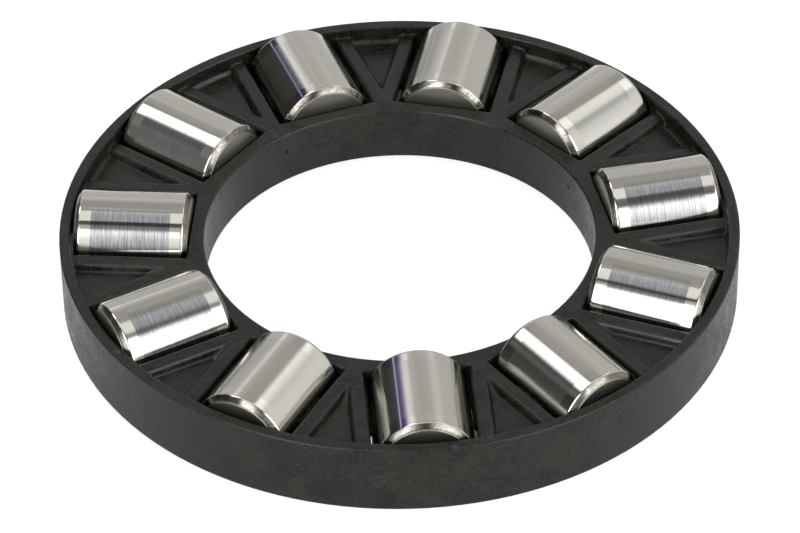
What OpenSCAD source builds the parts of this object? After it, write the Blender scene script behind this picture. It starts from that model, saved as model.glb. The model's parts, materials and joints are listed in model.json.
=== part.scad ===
// Axial cylindrical roller and cage assembly: one moulded cage and eleven rollers.
// Units are millimetres. Z is the bearing's axis; z = 0 is the plane of the roller axes.
// roller_01 lies along +X and the others follow anticlockwise, seen from above.

/* [Cage] */
// Diameter of the bore, which the shaft passes through
cage_bore_d = 30; // [29.6:0.1:30.4]
// Outside diameter
cage_outer_d = 52; // [51.8:0.1:53]
// Height of the outer rim, the tallest part of the cage
rim_h = 5.7; // [5.2:0.1:6.2]
// Radial thickness of the outer rim
rim_t = 0.85; // [0.7:0.05:0.95]
// How far the hub and the ribs lie below the rim's upper face
hub_sink = 0.85; // [0.6:0.05:1.1]
// How far the hub and the ribs lie above the rim's lower face
hub_lift = 0.35; // [0.2:0.05:0.6]
// How far the webs' triangular floor lies below the hub, on each face
floor_sink = 0.65; // [0.4:0.05:0.9]
// Diameter where the hub starts to slope down to the floor
hub_d = 35.6; // [35.2:0.2:36.4]
// Radial length of that slope
hub_slope = 1.9; // [1.2:0.1:2.4]
// Size of the slope that joins the floor to the rim
rim_slope = 0.25; // [0.1:0.05:0.35]
// Chamfer round the two edges of the bore
bore_edge = 0.1; // [0.05:0.05:0.3]
// How far the cage hangs below the rollers' axes, resting on its snap ridges
cage_drop = 0.43; // [0.3:0.01:0.45]

/* [Ribs and pockets] */
// Width of a rib beside a pocket, at its top
rib_w = 1.15; // [0.9:0.05:1.2]
// How much further out the rib's outer side stands at the floor
rib_flare = 0.25; // [0.1:0.05:0.3]
// Radius of the rib's two long edges
rib_round = 0.35; // [0.2:0.05:0.4]
// Gap between a roller's side and its pocket wall
side_gap = 0.15; // [0.12:0.01:0.2]
// Gap between a roller's inner end and the hub
end_gap = 0.15; // [0.1:0.01:0.2]
// Radius of the pocket's two inner corners
corner_r = 0.5; // [0.3:0.05:0.6]
// How far a snap ridge stands out of the pocket wall
snap_reach = 0.18; // [0.12:0.01:0.18]
// Height of the snap ridges above and below the cage's middle
snap_z = 1.1; // [1.1:0.05:1.3]
// Length of a snap ridge
snap_l = 3; // [2:0.5:5]

/* [Rollers] */
// Roller diameter
roller_d = 7.5; // [7.4:0.05:7.5]
// Roller length over both end faces
roller_l = 8.7; // [8.3:0.05:8.7]
// Chamfer at each end of a roller
roller_chamfer = 0.35; // [0.2:0.05:0.5]
// Distance from the bearing's axis to the middle of a roller
roller_mid_r = 20.45; // [20.4:0.01:20.48]

/* [Hidden] */
embed = 0.3;     // how far a joined shape runs into what it joins
roller_count = 11;
pitch = 360 / roller_count;
roller_r = roller_d / 2;

outer_r = cage_outer_d / 2;
rim_in_r = outer_r - rim_t;
bore_r = cage_bore_d / 2;
hub_r = hub_d / 2;
rim_round = 0.1;

rim_top = rim_h / 2;
rim_foot = -rim_h / 2;
hub_top = rim_top - hub_sink;
hub_foot = rim_foot + hub_lift;
floor_top = hub_top - floor_sink;
floor_foot = hub_foot + floor_sink;

pocket_half = roller_r + side_gap;
pocket_in = roller_mid_r - roller_l / 2 - end_gap;
rib_out = pocket_half + rib_w;
rib_lean = atan(rib_flare / floor_sink);
rib_foot = rib_out + (floor_sink + embed) * tan(rib_lean); // the leaning side runs on into the web
rib_turn = rib_round / tan(45 + rib_lean / 2); // how far from its corner the rib's rounding starts
rib_start = sqrt(pow(hub_r, 2) - pow(rib_foot, 2)) - embed; // the ribs start inside the hub
snap_r = 0.4;
snap_axis = pocket_half + snap_r - snap_reach;

rim_bite = 0.05; // how far a pocket cuts into the rim's inner face
mouth_rise = 0.02;  // lifts the mouths' rounding a little, so that it meets the faces at an angle
corner_past = 0.03; // how far a pocket's corners stand outside its mouth, so no two curves just touch
past = 0.5;      // how far a cutting shape runs past what it cuts
$fn = 96;

// ---- Cage ----

// Half section of the hub and webs, from the bore out into the rim.
module hub_section() {
    polygon([[bore_r, hub_foot + bore_edge], [bore_r + bore_edge, hub_foot],
             [hub_r, hub_foot], [hub_r + hub_slope, floor_foot],
             [rim_in_r - rim_slope, floor_foot], [rim_in_r, floor_foot - rim_slope],
             [rim_in_r + embed, floor_foot - rim_slope], [rim_in_r + embed, floor_top + rim_slope],
             [rim_in_r, floor_top + rim_slope], [rim_in_r - rim_slope, floor_top],
             [hub_r + hub_slope, floor_top], [hub_r, hub_top],
             [bore_r + bore_edge, hub_top], [bore_r, hub_top - bore_edge]]);
}

// Half section of the rim: a tall thin bar with rounded corners.
module rim_section() {
    translate([rim_in_r, rim_foot + rim_round]) square([rim_t, rim_h - 2 * rim_round]);
    translate([rim_in_r + rim_round, rim_foot]) square([rim_t - 2 * rim_round, rim_h]);
    for (r = [rim_in_r + rim_round, outer_r - rim_round], z = [rim_foot + rim_round, rim_top - rim_round])
        translate([r, z]) circle(rim_round, $fn = 32);
}

// A section drawn as (across the pocket, height), run outwards along the pocket's axis.
module along_pocket(from, to) {
    translate([from, 0, 0]) rotate([90, 0, 90]) linear_extrude(to - from) children();
}

// Section of one rib: its outer side leans and is rounded at both faces, the pocket cuts its inner side.
module rib_section() {
    for (face = [0, 1]) {
        z = face ? hub_top : -hub_foot;
        mirror([0, 1 - face]) {
            polygon([[0, -embed], [rib_foot, -embed], [rib_foot, z - floor_sink - embed],
                     [rib_out + rib_turn * sin(rib_lean), z - rib_turn * cos(rib_lean)],
                     [rib_out - rib_turn, z], [0, z]]);
            translate([rib_out - rib_turn, z - rib_round]) circle(rib_round, $fn = 32);
        }
    }
}

// Both ribs of one pocket, cut to length by the rim.
module ribs() {
    intersection() {
        union() for (side = [0, 1]) mirror([0, side, 0]) along_pocket(rib_start, outer_r) rib_section();
        cylinder(r = rim_in_r + embed, h = rim_h, center = true);
    }
}

// Section of the pocket's opening: straight walls, and mouths rounded over at both faces.
module pocket_section() {
    mouth_half = pocket_half + rib_round;
    translate([-pocket_half, -rim_h]) square([2 * pocket_half, 2 * rim_h]);
    for (face = [0, 1]) {
        z = (face ? hub_top : -hub_foot) - rib_round + mouth_rise;
        mirror([0, 1 - face]) difference() {
            translate([-mouth_half, z]) square([2 * mouth_half, rib_round + past]);
            for (x = [-mouth_half, mouth_half]) translate([x, z]) circle(rib_round, $fn = 32);
        }
    }
}

// Plan of the pocket's opening, with rounded inner corners.
module pocket_plan() {
    half = pocket_half + rib_round + corner_past;
    translate([pocket_in + corner_r, -half]) square([outer_r - pocket_in, 2 * half]);
    translate([pocket_in, corner_r - half]) square([outer_r - pocket_in, 2 * (half - corner_r)]);
    for (y = [corner_r - half, half - corner_r])
        translate([pocket_in + corner_r, y]) circle(corner_r, $fn = 48);
}

module pocket() {
    intersection() {
        along_pocket(pocket_in - past, outer_r) pocket_section();
        translate([0, 0, -rim_h]) linear_extrude(2 * rim_h) pocket_plan();
        cylinder(r = rim_in_r + rim_bite, h = 2 * rim_h, center = true);
    }
}

// Four short ridges that hold the cage on its roller, two on each side wall.
module snap_ridges() {
    for (y = [-snap_axis, snap_axis], z = [-snap_z, snap_z])
        translate([roller_mid_r - snap_l / 2, y, z]) rotate([0, 90, 0]) cylinder(r = snap_r, h = snap_l);
}

module cage() {
    color("#34352f") translate([0, 0, -cage_drop]) {
        difference() {
            union() {
                rotate_extrude($fn = 180) hub_section();
                rotate_extrude($fn = 180) rim_section();
                for (i = [0 : roller_count - 1]) rotate(i * pitch) ribs();
            }
            for (i = [0 : roller_count - 1]) rotate(i * pitch) pocket();
        }
        for (i = [0 : roller_count - 1]) rotate(i * pitch) snap_ridges();
    }
}

// ---- Rollers ----

// Half section of a roller, turned about its own axis.
module roller_section() {
    half = roller_l / 2;
    polygon([[0, -half], [roller_r - roller_chamfer, -half], [roller_r, roller_chamfer - half],
             [roller_r, half - roller_chamfer], [roller_r - roller_chamfer, half], [0, half]]);
}

module roller(number) {
    color("#c9c8c3") rotate((number - 1) * pitch) translate([roller_mid_r, 0, 0])
        rotate([0, 90, 0]) rotate_extrude() roller_section();
}

cage();
roller(1);  // roller_01
roller(2);  // roller_02
roller(3);  // roller_03
roller(4);  // roller_04
roller(5);  // roller_05
roller(6);  // roller_06
roller(7);  // roller_07
roller(8);  // roller_08
roller(9);  // roller_09
roller(10);  // roller_10
roller(11);  // roller_11
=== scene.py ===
import bpy
import bmesh
import json
import math
from mathutils import Matrix, Vector
from mathutils.bvhtree import BVHTree

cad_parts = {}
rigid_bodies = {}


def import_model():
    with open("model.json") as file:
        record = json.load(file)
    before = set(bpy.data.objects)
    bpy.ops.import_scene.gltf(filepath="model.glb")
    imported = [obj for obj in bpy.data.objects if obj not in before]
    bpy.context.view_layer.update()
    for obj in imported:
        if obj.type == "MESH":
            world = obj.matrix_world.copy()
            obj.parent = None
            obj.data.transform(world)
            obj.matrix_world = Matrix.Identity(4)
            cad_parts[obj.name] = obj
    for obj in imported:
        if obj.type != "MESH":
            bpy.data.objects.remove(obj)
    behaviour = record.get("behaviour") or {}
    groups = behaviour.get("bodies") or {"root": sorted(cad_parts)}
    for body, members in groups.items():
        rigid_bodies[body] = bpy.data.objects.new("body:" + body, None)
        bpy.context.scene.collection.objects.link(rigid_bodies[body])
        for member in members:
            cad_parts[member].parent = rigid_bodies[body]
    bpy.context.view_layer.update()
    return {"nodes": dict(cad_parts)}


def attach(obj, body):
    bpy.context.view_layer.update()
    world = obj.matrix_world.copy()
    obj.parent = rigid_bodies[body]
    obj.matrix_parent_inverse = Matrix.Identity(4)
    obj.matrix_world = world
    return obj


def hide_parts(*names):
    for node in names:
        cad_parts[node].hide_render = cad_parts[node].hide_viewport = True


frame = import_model()

# ---- Frame and camera, in metres and degrees ----
PICTURE_W, PICTURE_H = 800, 533
LONG_SIDE = max(PICTURE_W, PICTURE_H)
RIM_TOP = 0.00242          # height of the rim's upper face above the roller axes
CAMERA_TURN = -12.18       # the camera's azimuth; 0 looks along +Y
CAMERA_RISE = 39.78        # how far the camera looks down
CAMERA_FAR = 0.32963       # from the camera to the point it looks at
CAMERA_ROLL = -0.765       # turn of the camera about its own view
CAMERA_AIM = (0.0, 0.0, RIM_TOP)
CAMERA_LENS = 193.95       # in millimetres, as the sensor is
SENSOR = 36.0
AIM_ABOVE = 0.5804         # the aim stands this far above the picture's middle
CLIP_NEAR, CLIP_FAR = 0.01, 20

# Image points in the 800 x 533 frame, measured on the photograph.
POINTS = {
    "left": (59, None), "right": (741, None), "top": (None, 20), "bottom": (None, 510),
    "web_apex_back": (380, 90), "web_apex_front_left": (350, 380), "web_apex_front_right": (485, 376),
    "roller_03_inner_edge": (436, 81), "roller_04_inner_edge": (336, 87),
    "roller_09_outer_edge": (429, 422),
    "gate_mark_left": (287, 152), "gate_mark_right": (568, 187),
}

# The rollers, with the sizes of part.scad.
ROLLER_COUNT = 11
PITCH = 360.0 / ROLLER_COUNT
ROLLER_MID = 0.02045       # from the bearing's axis to a roller's middle
ROLLER_R = 0.00375
ROLLER_L = 0.0087
CHAMFER = 0.00035


# ---- Small helpers ----

def rotation_z(degrees):
    return Matrix.Rotation(math.radians(degrees), 4, "Z")


def direction(azimuth, elevation):
    """Unit vector; azimuth 0 is along +Y and 90 along +X."""
    a, e = math.radians(azimuth), math.radians(elevation)
    return Vector((math.sin(a) * math.cos(e), math.cos(a) * math.cos(e), math.sin(e)))


class Tree:
    """Builds node trees in few lines: a call adds its nodes and returns the last one's output."""

    def __init__(self, tree):
        self.tree = tree

    def add(self, kind, out=0, **settings):
        node = self.tree.nodes.new(kind)
        inputs = settings.pop("inputs", {})
        for key, value in settings.items():
            setattr(node, key, value)
        for key, value in inputs.items():
            if isinstance(value, bpy.types.NodeSocket):
                self.tree.links.new(value, node.inputs[key])
            else:
                node.inputs[key].default_value = value
        return node if out is None or not node.outputs else node.outputs[out]

    def math(self, operation, a, b=0.0):
        return self.add("ShaderNodeMath", operation=operation, inputs={0: a, 1: b})

    def product(self, first, *others):
        for other in others:
            first = self.math("MULTIPLY", first, other)
        return first

    def vector(self, operation, a, b=(0, 0, 0), out=0):
        return self.add("ShaderNodeVectorMath", out=out, operation=operation, inputs={0: a, 1: b})

    def ramp(self, value, low, high, to_low=0.0, to_high=1.0):
        """A smooth step from one value to another while the input goes from low to high."""
        return self.add("ShaderNodeMapRange", interpolation_type="SMOOTHSTEP",
                        inputs={0: value, 1: low, 2: high, 3: to_low, 4: to_high})

    def mix(self, factor, a, b):
        return self.add("ShaderNodeMix", out=2, data_type="RGBA", inputs={0: factor, 6: a, 7: b})

    def blend(self, factor, a, b):
        return self.add("ShaderNodeMix", data_type="FLOAT", inputs={0: factor, 2: a, 3: b})

    def noise(self, vector, scale, detail=2.0, rough=0.5, dims="3D"):
        inputs = {"Scale": scale, "Detail": detail, "Roughness": rough}
        inputs["W" if dims == "1D" else "Vector"] = vector
        return self.add("ShaderNodeTexNoise", noise_dimensions=dims, inputs=inputs)


def new_material(name):
    material = bpy.data.materials.new(name)
    material.use_nodes = True
    material.node_tree.nodes.clear()
    return material, Tree(material.node_tree)


# ---- Camera ----

def make_camera():
    data = bpy.data.cameras.new("camera")
    camera = bpy.data.objects.new("camera", data)
    bpy.context.scene.collection.objects.link(camera)
    rise = math.radians(CAMERA_RISE) - math.radians(AIM_ABOVE)
    place = Vector((0, -math.cos(rise), math.sin(rise))) * CAMERA_FAR
    look = Matrix.Rotation(math.radians(90 - CAMERA_RISE), 4, "X")
    turn = rotation_z(CAMERA_TURN)
    roll = rotation_z(CAMERA_ROLL)
    camera.matrix_world = Matrix.Translation(turn @ place + Vector(CAMERA_AIM)) @ turn @ look @ roll
    data.sensor_fit = "AUTO"
    data.sensor_width = SENSOR
    data.lens = CAMERA_LENS
    data.clip_start = CLIP_NEAR
    data.clip_end = CLIP_FAR
    bpy.context.scene.camera = camera
    return camera


camera = make_camera()


# ---- Light: a white tent with soft boxes, seen as the world ----

# What the rollers mirror in the photograph: azimuth and elevation of each box's middle, half width,
# half height, softness of the edge, strength, and turn about its own middle. Azimuth 0 is straight
# behind the object as the camera sees it, and 90 is to the right.
SOFT_BOXES = [
    (86, 26, 27, 24, 0.50, 1.08, 0),      # the tent's right wall
    (25, 32, 9, 3, 0.50, 1.02, 0),        # a fold of the back wall
    (-10, 31, 3, 4, 0.50, 1.30, 0),       # another, narrow
    (56, 51, 12, 8, 0.20, 1.75, 0),       # lamp behind, right
    (-28, 38, 7, 4, 0.60, 1.45, 0),       # lower corner of the next
    (-53, 57, 11, 9, 0.35, 4.50, 0),      # lamp behind, left
    (131, 28, 22, 22, 0.35, 5.40, 0),     # lamp in front, right
    (-165, 38, 9, 20, 0.40, 1.25, 0),     # front wall beside the next
    (-144, 31, 12, 24, 0.40, 8.00, 0),    # lamp in front, left
    (0, 88, 28, 13, 0.08, 1.32, 0),       # overhead
    (-96, 48, 16, 11, 0.40, 0.28, 0),     # the left wall's upper part
    (-159, 62, 14, 5, 0.35, 0.75, 0),     # gap between the overhead and the front lamp
    (-39, 24, 1.1, 16, 0.60, 0.85, -45),  # a slit in the left wall
]
AHEAD = 0.01               # a box is looked for only in directions ahead of its own plane
BACK_WALL = 0.74
FRONT = 0.20
FRONT_TO_BACK = (-0.95, -0.30)       # cosine of the azimuth over which the front turns into the back
HIGH = (0.64, 0.72)        # sine of the elevation over which the wall turns into the roof
BACK_HIGH = 0.71           # share of the wall's light that is left there
LEFT_SIDE = 0.04
LEFT_FRONT = 0.18
LEFT_FRONT_TO_SIDE = (-0.35, 0.10)
LEFT = (0.30, 0.70)        # minus the sine of the azimuth over which the left side begins
# The violet tint on the left: how bright, how far back and how high its directions are.
VIOLET = (0.64, 0.52, 1.70, 1)
VIOLET_FROM, VIOLET_TO = (0.04, 0.14), (0.5, 1.1)
VIOLET_BACK = (0.35, 0.70)
VIOLET_RISE, VIOLET_END = (0.20, 0.35), (0.58, 0.66)
WHITE = (1, 1, 1, 1)
NO_ZERO = 0.0001           # keeps a division by the flat length of a ray away from zero
STUDIO_TURN = -CAMERA_TURN           # turns the world's azimuths into the camera's
FLOOR_GLOW = 0.84          # the floor's own white where the camera sees it
FLOOR_MIRRORED = 0.58      # and where a mirroring surface does
SHADOW_DEPTH = (0.25, 0.25, 0.25, 1)          # what the light adds to it and a shadow takes away
FLOOR_SIZE = 6
FLOOR_DARK = (0.80, 0.80, 0.80, 1)
FLOOR_PALE = (0.82, 0.82, 0.82, 1)
FLOOR_CLOUDS = 3.0         # clouds per metre


def soft_box_group():
    """A node group: how much of a soft box a direction sees, from 0 to 1."""
    group = bpy.data.node_groups.new("soft_box", "ShaderNodeTree")
    for name in ("Direction", "Middle", "Side", "Up"):
        group.interface.new_socket(name, in_out="INPUT", socket_type="NodeSocketVector")
    for name in ("Half_width", "Half_height", "Edge"):
        group.interface.new_socket(name, in_out="INPUT", socket_type="NodeSocketFloat")
    group.interface.new_socket("Seen", in_out="OUTPUT", socket_type="NodeSocketFloat")
    t = Tree(group)
    given = t.add("NodeGroupInput", out=None).outputs
    ahead = t.vector("DOT_PRODUCT", given["Direction"], given["Middle"], out=1)
    clear = t.math("MAXIMUM", ahead, AHEAD)
    seen = t.math("GREATER_THAN", ahead, AHEAD)
    for across, half in (("Side", "Half_width"), ("Up", "Half_height")):
        reach = t.vector("DOT_PRODUCT", given["Direction"], given[across], out=1)
        share = t.math("DIVIDE", t.math("ABSOLUTE", t.math("DIVIDE", reach, clear)), given[half])
        inner = t.math("SUBTRACT", 1.0, given["Edge"])
        outer = t.math("ADD", 1.0, given["Edge"])
        seen = t.math("MULTIPLY", seen, t.ramp(share, inner, outer, 1.0, 0.0))
    result = t.add("NodeGroupOutput", out=None)
    group.links.new(seen, result.inputs[0])
    return group


def add_soft_box(t, group, ray, level, box):
    """Lays one soft box over the light's level, as the direction of the ray sees it."""
    azimuth, elevation, half_width, half_height, edge, strength, turn = box
    middle = direction(azimuth, elevation)
    across = Matrix.Rotation(math.radians(turn), 3, middle) @ direction(azimuth + 90, 0)
    seen = t.add("ShaderNodeGroup", node_tree=group, inputs={
        "Direction": ray, "Middle": middle, "Side": across, "Up": across.cross(middle), "Edge": edge,
        "Half_width": math.tan(math.radians(half_width)),
        "Half_height": math.tan(math.radians(half_height))})
    return t.blend(seen, level, strength)


def make_world():
    world = bpy.data.worlds.new("studio")
    world.use_nodes = True
    world.node_tree.nodes.clear()
    bpy.context.scene.world = world
    t = Tree(world.node_tree)
    ray = t.add("ShaderNodeTexCoord", out="Generated")
    turned = t.add("ShaderNodeVectorRotate", rotation_type="Z_AXIS",
                   inputs={"Vector": ray, "Angle": math.radians(STUDIO_TURN)})
    x, y, z = t.add("ShaderNodeSeparateXYZ", out=None, inputs={0: turned}).outputs
    flat = t.math("SQRT", t.math("ADD", t.product(x, x), t.math("ADD", t.product(y, y), NO_ZERO)))
    side = t.math("DIVIDE", x, flat)
    back = t.math("DIVIDE", y, flat)
    level = t.ramp(back, *FRONT_TO_BACK, FRONT, BACK_WALL)
    left = t.ramp(t.product(side, -1.0), *LEFT)
    level = t.blend(left, level, t.ramp(back, *LEFT_FRONT_TO_SIDE, LEFT_FRONT, LEFT_SIDE))
    level = t.product(level, t.ramp(z, *HIGH, 1.0, BACK_HIGH))
    group = soft_box_group()
    for box in SOFT_BOXES:
        level = add_soft_box(t, group, turned, level, box)
    fringe = t.product(left, t.ramp(level, *VIOLET_FROM), t.ramp(level, *VIOLET_TO, 1.0, 0.0),
                       t.ramp(back, *VIOLET_BACK),
                       t.ramp(z, *VIOLET_RISE), t.ramp(z, *VIOLET_END, 1.0, 0.0))
    tint = t.mix(fringe, WHITE, VIOLET)
    light = t.add("ShaderNodeBackground", inputs={"Color": tint, "Strength": level})
    plain = t.add("ShaderNodeBackground", inputs={"Color": WHITE, "Strength": 1.0})
    seen = t.add("ShaderNodeLightPath", out="Is Camera Ray")
    mixed = t.add("ShaderNodeMixShader", inputs={0: seen, 1: light, 2: plain})
    t.add("ShaderNodeOutputWorld", inputs={0: mixed})


def make_floor():
    bpy.ops.mesh.primitive_plane_add(size=FLOOR_SIZE, location=(0, 0, -ROLLER_R))
    floor = bpy.context.object
    floor.name = "floor"
    material, t = new_material("floor_white")
    cloud = t.noise(t.add("ShaderNodeTexCoord", out="Object"), FLOOR_CLOUDS)
    white = t.mix(cloud, FLOOR_DARK, FLOOR_PALE)
    matt = t.add("ShaderNodeBsdfDiffuse", inputs={"Color": white})
    pale = t.add("ShaderNodeBsdfDiffuse", inputs={"Color": SHADOW_DEPTH})
    path = t.add("ShaderNodeLightPath", out=None).outputs
    glossy = t.math("MAXIMUM", path["Is Glossy Ray"], path["Is Transmission Ray"])
    level = t.blend(path["Is Camera Ray"], FLOOR_MIRRORED, FLOOR_GLOW)
    glow = t.add("ShaderNodeEmission", inputs={"Color": WHITE, "Strength": level})
    both = t.add("ShaderNodeAddShader", inputs={0: pale, 1: glow})
    shown = t.math("MAXIMUM", path["Is Camera Ray"], glossy)
    mixed = t.add("ShaderNodeMixShader", inputs={0: shown, 1: matt, 2: both})
    t.add("ShaderNodeOutputMaterial", inputs={0: mixed})
    floor.data.materials.append(material)


make_world()
make_floor()
view = bpy.context.scene.view_settings
view.view_transform = "Standard"


# ---- Materials ----

# The cage's plastic: mottling, a bump that follows it, and scuffs that come in patches.
PLASTIC_DARK = (0.0008, 0.0018, 0.0004, 1)
PLASTIC_PALE = (0.0098, 0.0120, 0.0077, 1)
PLASTIC_SCUFF = (0.038, 0.041, 0.034, 1)
PLASTIC_EDGE = 0.00028     # radius to which the moulding's edges look rounded
EDGE_SAMPLES = 6
SKIN_DEPTH = 0.00003
SKIN_STRENGTH = 0.5
SKIN_SPAN = (0.36, 0.64)   # stretch of the mottling's noise that goes from dark to pale
PLASTIC_SATIN, PLASTIC_DULL = 0.24, 0.46      # roughness of the dark and of the pale spots
BROAD_SHARE, FINE_SHARE = 0.45, 0.55
SCUFF_DRAWN = (1.0, 0.35, 2.0)
SCUFF_SPAN, SCUFF_PATCH = (0.60, 0.72), (0.48, 0.62)
SCUFF_SHARE = 0.8
PLASTIC_SHINE = 0.33


def cage_material():
    """Glass-filled nylon: near black, a little green, satin, with a mottled skin and pale scuffs."""
    material, t = new_material("cage_plastic")
    place = t.add("ShaderNodeTexCoord", out="Object")
    broad = t.noise(place, scale=420.0, detail=4.0, rough=0.65)
    fine = t.noise(place, scale=3300.0, detail=3.0, rough=0.7)
    both = t.math("ADD", t.product(broad, BROAD_SHARE), t.product(fine, FINE_SHARE))
    tone = t.mix(t.ramp(both, *SKIN_SPAN), PLASTIC_DARK, PLASTIC_PALE)
    drawn = t.vector("MULTIPLY", place, SCUFF_DRAWN)
    specks = t.ramp(t.noise(drawn, scale=2100.0, detail=3.0, rough=0.7), *SCUFF_SPAN)
    patches = t.ramp(t.noise(place, scale=260.0, detail=2.0, rough=0.5), *SCUFF_PATCH)
    tone = t.mix(t.product(specks, patches, SCUFF_SHARE), tone, PLASTIC_SCUFF)
    rough = t.ramp(both, *SKIN_SPAN, PLASTIC_SATIN, PLASTIC_DULL)
    soft = t.add("ShaderNodeBevel", samples=EDGE_SAMPLES, inputs={"Radius": PLASTIC_EDGE})
    bump = t.add("ShaderNodeBump", inputs={
        "Strength": SKIN_STRENGTH, "Distance": SKIN_DEPTH, "Height": both, "Normal": soft})
    shader = t.add("ShaderNodeBsdfPrincipled", inputs={
        "Base Color": tone, "Roughness": rough, "Specular IOR Level": PLASTIC_SHINE, "Normal": bump})
    t.add("ShaderNodeOutputMaterial", inputs={0: shader})
    return material


# The roller's zones: a ground middle between polished ends, the broken edges and the end faces.
GROUND_HALF = 0.35         # half length of the ground middle, as a share of the roller's length
GROUND_BLEND = 0.008       # and how far its border runs to each side
BORDER = 0.00006           # how wide the border is between the side, the chamfer and the face
SIDE_BORDER = 0.00002      # and how far short of the side the first of them ends
POLISHED_DARK = (0.515, 0.498, 0.444, 1)
POLISHED_PALE = (0.545, 0.528, 0.474, 1)
# The ground middle's tones, much darker than the polished steel, are painted shade: they show where
# the middle is seen squarely.
GROUND_SHADE_DARK = (0.180, 0.185, 0.193, 1)
GROUND_SHADE_PALE = (0.280, 0.284, 0.288, 1)
CHAMFER_DARK = (0.13, 0.124, 0.108, 1)
CHAMFER_PALE = (0.25, 0.240, 0.212, 1)
END_DARK = (0.37, 0.353, 0.310, 1)
END_PALE = (0.48, 0.460, 0.408, 1)
LINE_SPAN, GRAIN_SPAN = (0.34, 0.66), (0.3, 0.7)
SQUARE_TO_SLANT = (0.10, 0.27)       # over this facing, the painted shade on the ground middle fades and it turns as bright as the rest
SLANT_SHARE = 0.04         # what is left of the painted shade then
POLISHED_ROUGH, GROUND_ROUGH = 0.09, 0.14
CHAMFER_ROUGH, END_ROUGH = 0.22, 0.78
LINE_TIP = 0.05            # how far the wider and the finer grinding lines tip the surface
SCORE_TIP = 0.10
LINE_STRETCH = (1.0, 0.04, 0.04)     # grinding lines run round the roller


def roller_zones(t, place):
    """How much of a place is side, of the ground middle, and end face; and where it is."""
    x, y, z = t.add("ShaderNodeSeparateXYZ", out=None, inputs={0: place}).outputs
    along = t.math("DIVIDE", x, ROLLER_L)
    across = t.math("SQRT", t.math("ADD", t.product(y, y), t.product(z, z)))
    side = t.ramp(across, ROLLER_R - BORDER, ROLLER_R - SIDE_BORDER)
    middle = t.ramp(t.math("ABSOLUTE", along), GROUND_HALF - GROUND_BLEND,
                    GROUND_HALF + GROUND_BLEND, 1.0, 0.0)
    face = t.ramp(across, ROLLER_R - CHAMFER - BORDER, ROLLER_R - CHAMFER, 1.0, 0.0)
    return along, across, side, t.product(middle, side), face


def roller_material():
    """Hardened steel: polished end zones, a ground middle that blurs along the axis, dull ends."""
    material, t = new_material("roller_steel")
    place = t.add("ShaderNodeTexCoord", out="Object")
    along, across, side, middle, face = roller_zones(t, place)
    lines = t.noise(t.vector("MULTIPLY", place, LINE_STRETCH), scale=12000.0, detail=3.0, rough=0.75)
    scores = t.noise(along, scale=700.0, detail=2.0, rough=0.6, dims="1D")
    rings = t.noise(across, scale=26000.0, detail=2.0, rough=0.6, dims="1D")
    grain = t.noise(place, scale=3000.0, detail=3.0, rough=0.6)
    polished = t.mix(lines, POLISHED_DARK, POLISHED_PALE)
    # The grinding lines' streaks are the steel's own. The dark level of this tone is painted shade,
    # shown where the middle is seen squarely.
    ground = t.mix(t.ramp(lines, *LINE_SPAN), GROUND_SHADE_DARK, GROUND_SHADE_PALE)
    # Painted shade that follows the view: a Layer Weight node on the base colour gives the ground
    # middle its dark tone where it is seen squarely and the polished ends' brighter colour at a
    # slant. It stands for rough ground steel mirroring less when seen squarely and more at a slant.
    painted_view_shade = t.ramp(t.add("ShaderNodeLayerWeight", out="Facing"), *SQUARE_TO_SLANT, 1.0, SLANT_SHARE)
    steel = t.mix(t.product(middle, painted_view_shade), polished, ground)
    broken = t.mix(t.ramp(grain, *GRAIN_SPAN), CHAMFER_DARK, CHAMFER_PALE)
    end = t.mix(face, broken, t.mix(rings, END_DARK, END_PALE))
    rough = t.blend(side, t.blend(face, CHAMFER_ROUGH, END_ROUGH),
                    t.blend(middle, POLISHED_ROUGH, GROUND_ROUGH))
    # The lines tip the surface along the axis only, so they blur along it and stay crisp round it.
    tip = t.math("ADD", t.product(t.math("SUBTRACT", lines, 0.5), LINE_TIP),
                 t.product(t.math("SUBTRACT", scores, 0.5), SCORE_TIP))
    axis = t.add("ShaderNodeVectorTransform", vector_type="VECTOR", convert_from="OBJECT",
                 convert_to="WORLD", inputs={0: (1, 0, 0)})
    lean = t.add("ShaderNodeVectorMath", operation="SCALE",
                 inputs={0: axis, 3: t.product(tip, middle)})
    normal = t.vector("ADD", t.add("ShaderNodeNewGeometry", out="Normal"), lean)
    shader = t.add("ShaderNodeBsdfPrincipled", inputs={
        "Base Color": t.mix(side, end, steel), "Metallic": 1.0, "Roughness": rough,
        "Anisotropic": 1.0, "Normal": t.vector("NORMALIZE", normal), "Tangent": axis})
    t.add("ShaderNodeOutputMaterial", inputs={0: shader})
    return material


# ---- Rollers ----

ROUND_STEPS = 160          # facets round a roller
ROUND_PARTS = 4            # parts of the small round at an edge
EDGE_ROUND = 0.00011       # radius that breaks a roller's sharp edges
EDGE_HOLD = 0.00005        # a ring this close to a round keeps the flat beside it flat
FACE_RING = 0.0018         # a ring this far inside the chamfer divides the end face
SHARP = 20                 # an edge that turns by more degrees than this shows as sharp


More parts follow.
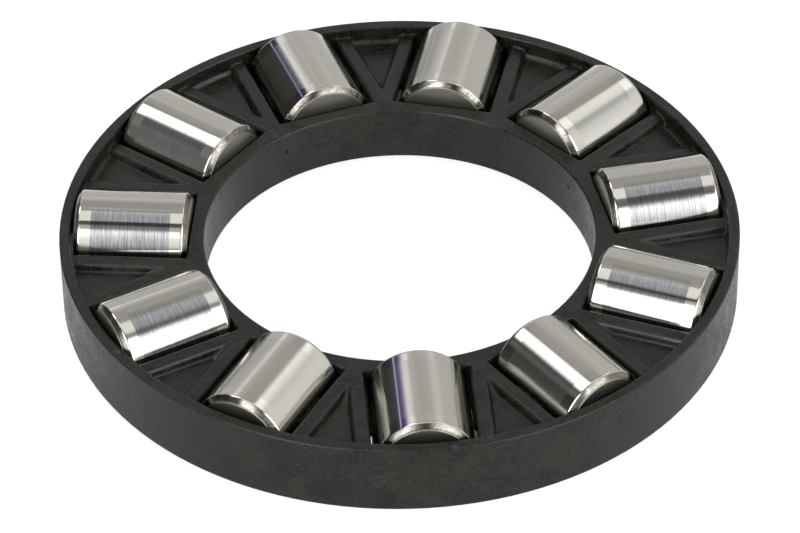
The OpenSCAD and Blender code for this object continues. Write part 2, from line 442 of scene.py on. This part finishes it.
def roller_profile():
    """Half section of a roller as (along, radius), from one end face's ring to the other's."""
    half = ROLLER_L / 2
    corners = [(half, ROLLER_R - CHAMFER), (half - CHAMFER, ROLLER_R)]
    before = [Vector((half, 0)), Vector(corners[0])]
    after = [Vector(corners[1]), Vector((0, ROLLER_R))]
    edge = [(half, ROLLER_R - CHAMFER - FACE_RING),
            (half, ROLLER_R - CHAMFER - EDGE_ROUND - EDGE_HOLD)]
    shares = [step / ROUND_PARTS for step in range(ROUND_PARTS + 1)]
    for start, corner, end in zip(before, corners, after):
        middle = Vector(corner)
        first = middle + (start - middle).normalized() * EDGE_ROUND
        last = middle + (end - middle).normalized() * EDGE_ROUND
        edge.extend(tuple(curve(first, middle, last, share)) for share in shares)
    edge.append((half - CHAMFER - EDGE_ROUND - EDGE_HOLD, ROLLER_R))
    left = [(-x, r) for x, r in edge]
    return left + [(x, r) for x, r in reversed(edge)]


def curve(first, corner, last, share):
    """A point on the small round that takes the place of a sharp corner."""
    return first.lerp(corner, share).lerp(corner.lerp(last, share), share)


def roller_mesh():
    """The profile turned about the X axis, closed at both ends."""
    mesh = bpy.data.meshes.new("roller")
    shape = bmesh.new()
    rings = []
    angles = [2 * math.pi * i / ROUND_STEPS for i in range(ROUND_STEPS)]
    for x, r in roller_profile():
        rings.append([shape.verts.new((x, r * math.cos(a), r * math.sin(a))) for a in angles])
    for first, second in zip(rings, rings[1:]):
        for i in range(ROUND_STEPS):
            j = (i + 1) % ROUND_STEPS
            shape.faces.new((first[i], second[i], second[j], first[j]))
    shape.faces.new(rings[0])
    shape.faces.new(list(reversed(rings[-1])))
    bmesh.ops.recalc_face_normals(shape, faces=shape.faces)
    for face in shape.faces:
        face.smooth = True
    for edge in shape.edges:
        edge.smooth = edge.calc_face_angle(0) < math.radians(SHARP)
    shape.to_mesh(mesh)
    shape.free()
    return mesh


def make_rollers():
    mesh = roller_mesh()
    mesh.materials.append(roller_material())
    for i in range(ROLLER_COUNT):
        node = "roller_%02d" % (i + 1)
        piece = bpy.data.objects.new(node + "_steel", mesh)
        bpy.context.scene.collection.objects.link(piece)
        piece.matrix_world = rotation_z(i * PITCH) @ Matrix.Translation((ROLLER_MID, 0, 0))
        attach(piece, node)
        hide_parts(node)


make_rollers()
cage = frame["nodes"]["cage"]
cage.data.materials.clear()
cage.data.materials.append(cage_material())


# ---- Placing by image points ----

NEAREST, FARTHEST, LOOK_STEP = 0.25, 0.40, 0.0005    # stretch of a ray that can pass the object
# A gate mark's half section from its middle out: radius and height over the wall.
GATE_PROFILE = [(0, 0.000004), (0.00004, 0.000006), (0.00008, 0.000022), (0.00011, 0.000016),
                (0.00013, -0.00001)]
GATE_STEPS = 24
GATE_STRETCH = 1.7         # the marks are taller than wide
GATE_GRAIN = 9000.0
GATE_DARK = (0.0015, 0.0020, 0.0015, 1)
GATE_PALE = (0.010, 0.012, 0.009, 1)
GATE_ROUGH, GATE_SHINE = 0.6, 0.1
WEB_APEX_R = 0.0178        # where two ribs meet beside the hub, from the bearing's axis
WEB_BACK, WEB_FRONT_LEFT, WEB_FRONT_RIGHT = 2.5 * PITCH, -3.5 * PITCH, -2.5 * PITCH
HUB_TOP = 0.00157          # height of the hub's upper face above the roller axes


def image_ray(point):
    """The camera's place and the direction of its ray through an image point."""
    data = camera.data
    across = point[0] - PICTURE_W / 2 + data.shift_x * LONG_SIDE
    up = PICTURE_H / 2 - point[1] + data.shift_y * LONG_SIDE
    ahead = Vector((across, up, -LONG_SIDE * data.lens / data.sensor_width))
    return camera.matrix_world.translation, (camera.matrix_world.to_3x3() @ ahead).normalized()


def image_place(place):
    """Where a place in the scene shows in the picture."""
    data = camera.data
    seen = camera.matrix_world.inverted() @ Vector(place)
    scale = LONG_SIDE * data.lens / data.sensor_width / -seen.z
    return (PICTURE_W / 2 - data.shift_x * LONG_SIDE + seen.x * scale,
            PICTURE_H / 2 + data.shift_y * LONG_SIDE - seen.y * scale)


def finished_places(piece):
    """A piece's finished vertices and faces in the scene's frame."""
    done = piece.evaluated_get(bpy.context.evaluated_depsgraph_get())
    mesh = done.to_mesh()
    places = [done.matrix_world @ v.co for v in mesh.vertices]
    faces = [tuple(p.vertices) for p in mesh.polygons]
    done.to_mesh_clear()
    return places, faces


def surface_at(point, tree):
    """Place and normal where an image point's ray meets the surface, or passes nearest to it."""
    start, ahead = image_ray(point)
    place, normal, _, _ = tree.ray_cast(start, ahead)
    if place is None:
        steps = int((FARTHEST - NEAREST) / LOOK_STEP)
        tries = [tree.find_nearest(start + ahead * (NEAREST + LOOK_STEP * i)) for i in range(steps)]
        place, normal, _, _ = min(tries, key=lambda found: found[3])
    return place, normal


def gate_mark(name, tree, material):
    """A little oval scar in the bore wall where the plastic was let in or pushed out."""
    place, normal = surface_at(POINTS[name], tree)
    shape = bmesh.new()
    middle = shape.verts.new((0, 0, GATE_PROFILE[0][1]))
    rings = []
    angles = [2 * math.pi * i / GATE_STEPS for i in range(GATE_STEPS)]
    for r, z in GATE_PROFILE[1:]:
        tall = GATE_STRETCH * r
        rings.append([shape.verts.new((r * math.cos(a), tall * math.sin(a), z)) for a in angles])
    for i in range(GATE_STEPS):
        j = (i + 1) % GATE_STEPS
        shape.faces.new((middle, rings[0][i], rings[0][j]))
        for first, second in zip(rings, rings[1:]):
            shape.faces.new((first[i], second[i], second[j], first[j]))
    shape.faces.new(list(reversed(rings[-1])))
    bmesh.ops.recalc_face_normals(shape, faces=shape.faces)
    mesh = bpy.data.meshes.new(name)
    shape.to_mesh(mesh)
    shape.free()
    for face in mesh.polygons:
        face.use_smooth = True
    piece = bpy.data.objects.new(name, mesh)
    bpy.context.scene.collection.objects.link(piece)
    across = Vector((0, 0, 1)).cross(normal).normalized()
    turn = Matrix((across, normal.cross(across), normal)).transposed().to_4x4()
    piece.matrix_world = Matrix.Translation(place) @ turn
    mesh.materials.append(material)
    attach(piece, "cage")
    return piece


def gate_material():
    """The cage's plastic where it is scarred: darker and dull."""
    material, t = new_material("gate_scar")
    grain = t.noise(t.add("ShaderNodeTexCoord", out="Object"), GATE_GRAIN)
    tone = t.mix(grain, GATE_DARK, GATE_PALE)
    shader = t.add("ShaderNodeBsdfPrincipled", inputs={
        "Base Color": tone, "Roughness": GATE_ROUGH, "Specular IOR Level": GATE_SHINE})
    t.add("ShaderNodeOutputMaterial", inputs={0: shader})
    return material


def on_circle(radius, angle, height):
    return rotation_z(angle) @ Vector((radius, 0, height))


def edge_top(number, side):
    """The highest point, as it shows, of the edge between a roller's side and its end chamfer."""
    along = ROLLER_MID + side * (ROLLER_L / 2 - CHAMFER)
    turn = rotation_z((number - 1) * PITCH)
    angles = [math.radians(a) for a in range(181)]
    ring = [turn @ Vector((along, ROLLER_R * math.cos(a), ROLLER_R * math.sin(a))) for a in angles]
    return min((image_place(p) for p in ring), key=lambda seen: seen[1])


def write_points(marks):
    """Works out how far, in x and y, each named thing shows from its image point; the numbers are not
    kept, written or shown.
    """
    rollers = [o for o in bpy.context.scene.objects if o.name.endswith("_steel")]
    shown = [image_place(p) for piece in [cage] + rollers for p in finished_places(piece)[0]]
    found = {
        "left": (min(x for x, _ in shown), None), "right": (max(x for x, _ in shown), None),
        "top": (None, min(y for _, y in shown)), "bottom": (None, max(y for _, y in shown)),
        "web_apex_back": image_place(on_circle(WEB_APEX_R, WEB_BACK, HUB_TOP)),
        "web_apex_front_left": image_place(on_circle(WEB_APEX_R, WEB_FRONT_LEFT, HUB_TOP)),
        "web_apex_front_right": image_place(on_circle(WEB_APEX_R, WEB_FRONT_RIGHT, HUB_TOP)),
        "roller_03_inner_edge": edge_top(3, -1),
        "roller_04_inner_edge": edge_top(4, -1),
        "roller_09_outer_edge": edge_top(9, 1),
    }
    for mark in marks:
        places = [image_place(p) for p in finished_places(mark)[0]]
        found[mark.name] = tuple(sum(p[i] for p in places) / len(places) for i in (0, 1))
    for name, point in POINTS.items():
        pairs = zip(found[name], point)
        [None if want is None else round(got - want, 2) for got, want in pairs]


bpy.context.view_layer.update()
carrier = BVHTree.FromPolygons(*finished_places(cage))
scar = gate_material()
write_points([gate_mark(name, carrier, scar) for name in ("gate_mark_left", "gate_mark_right")])
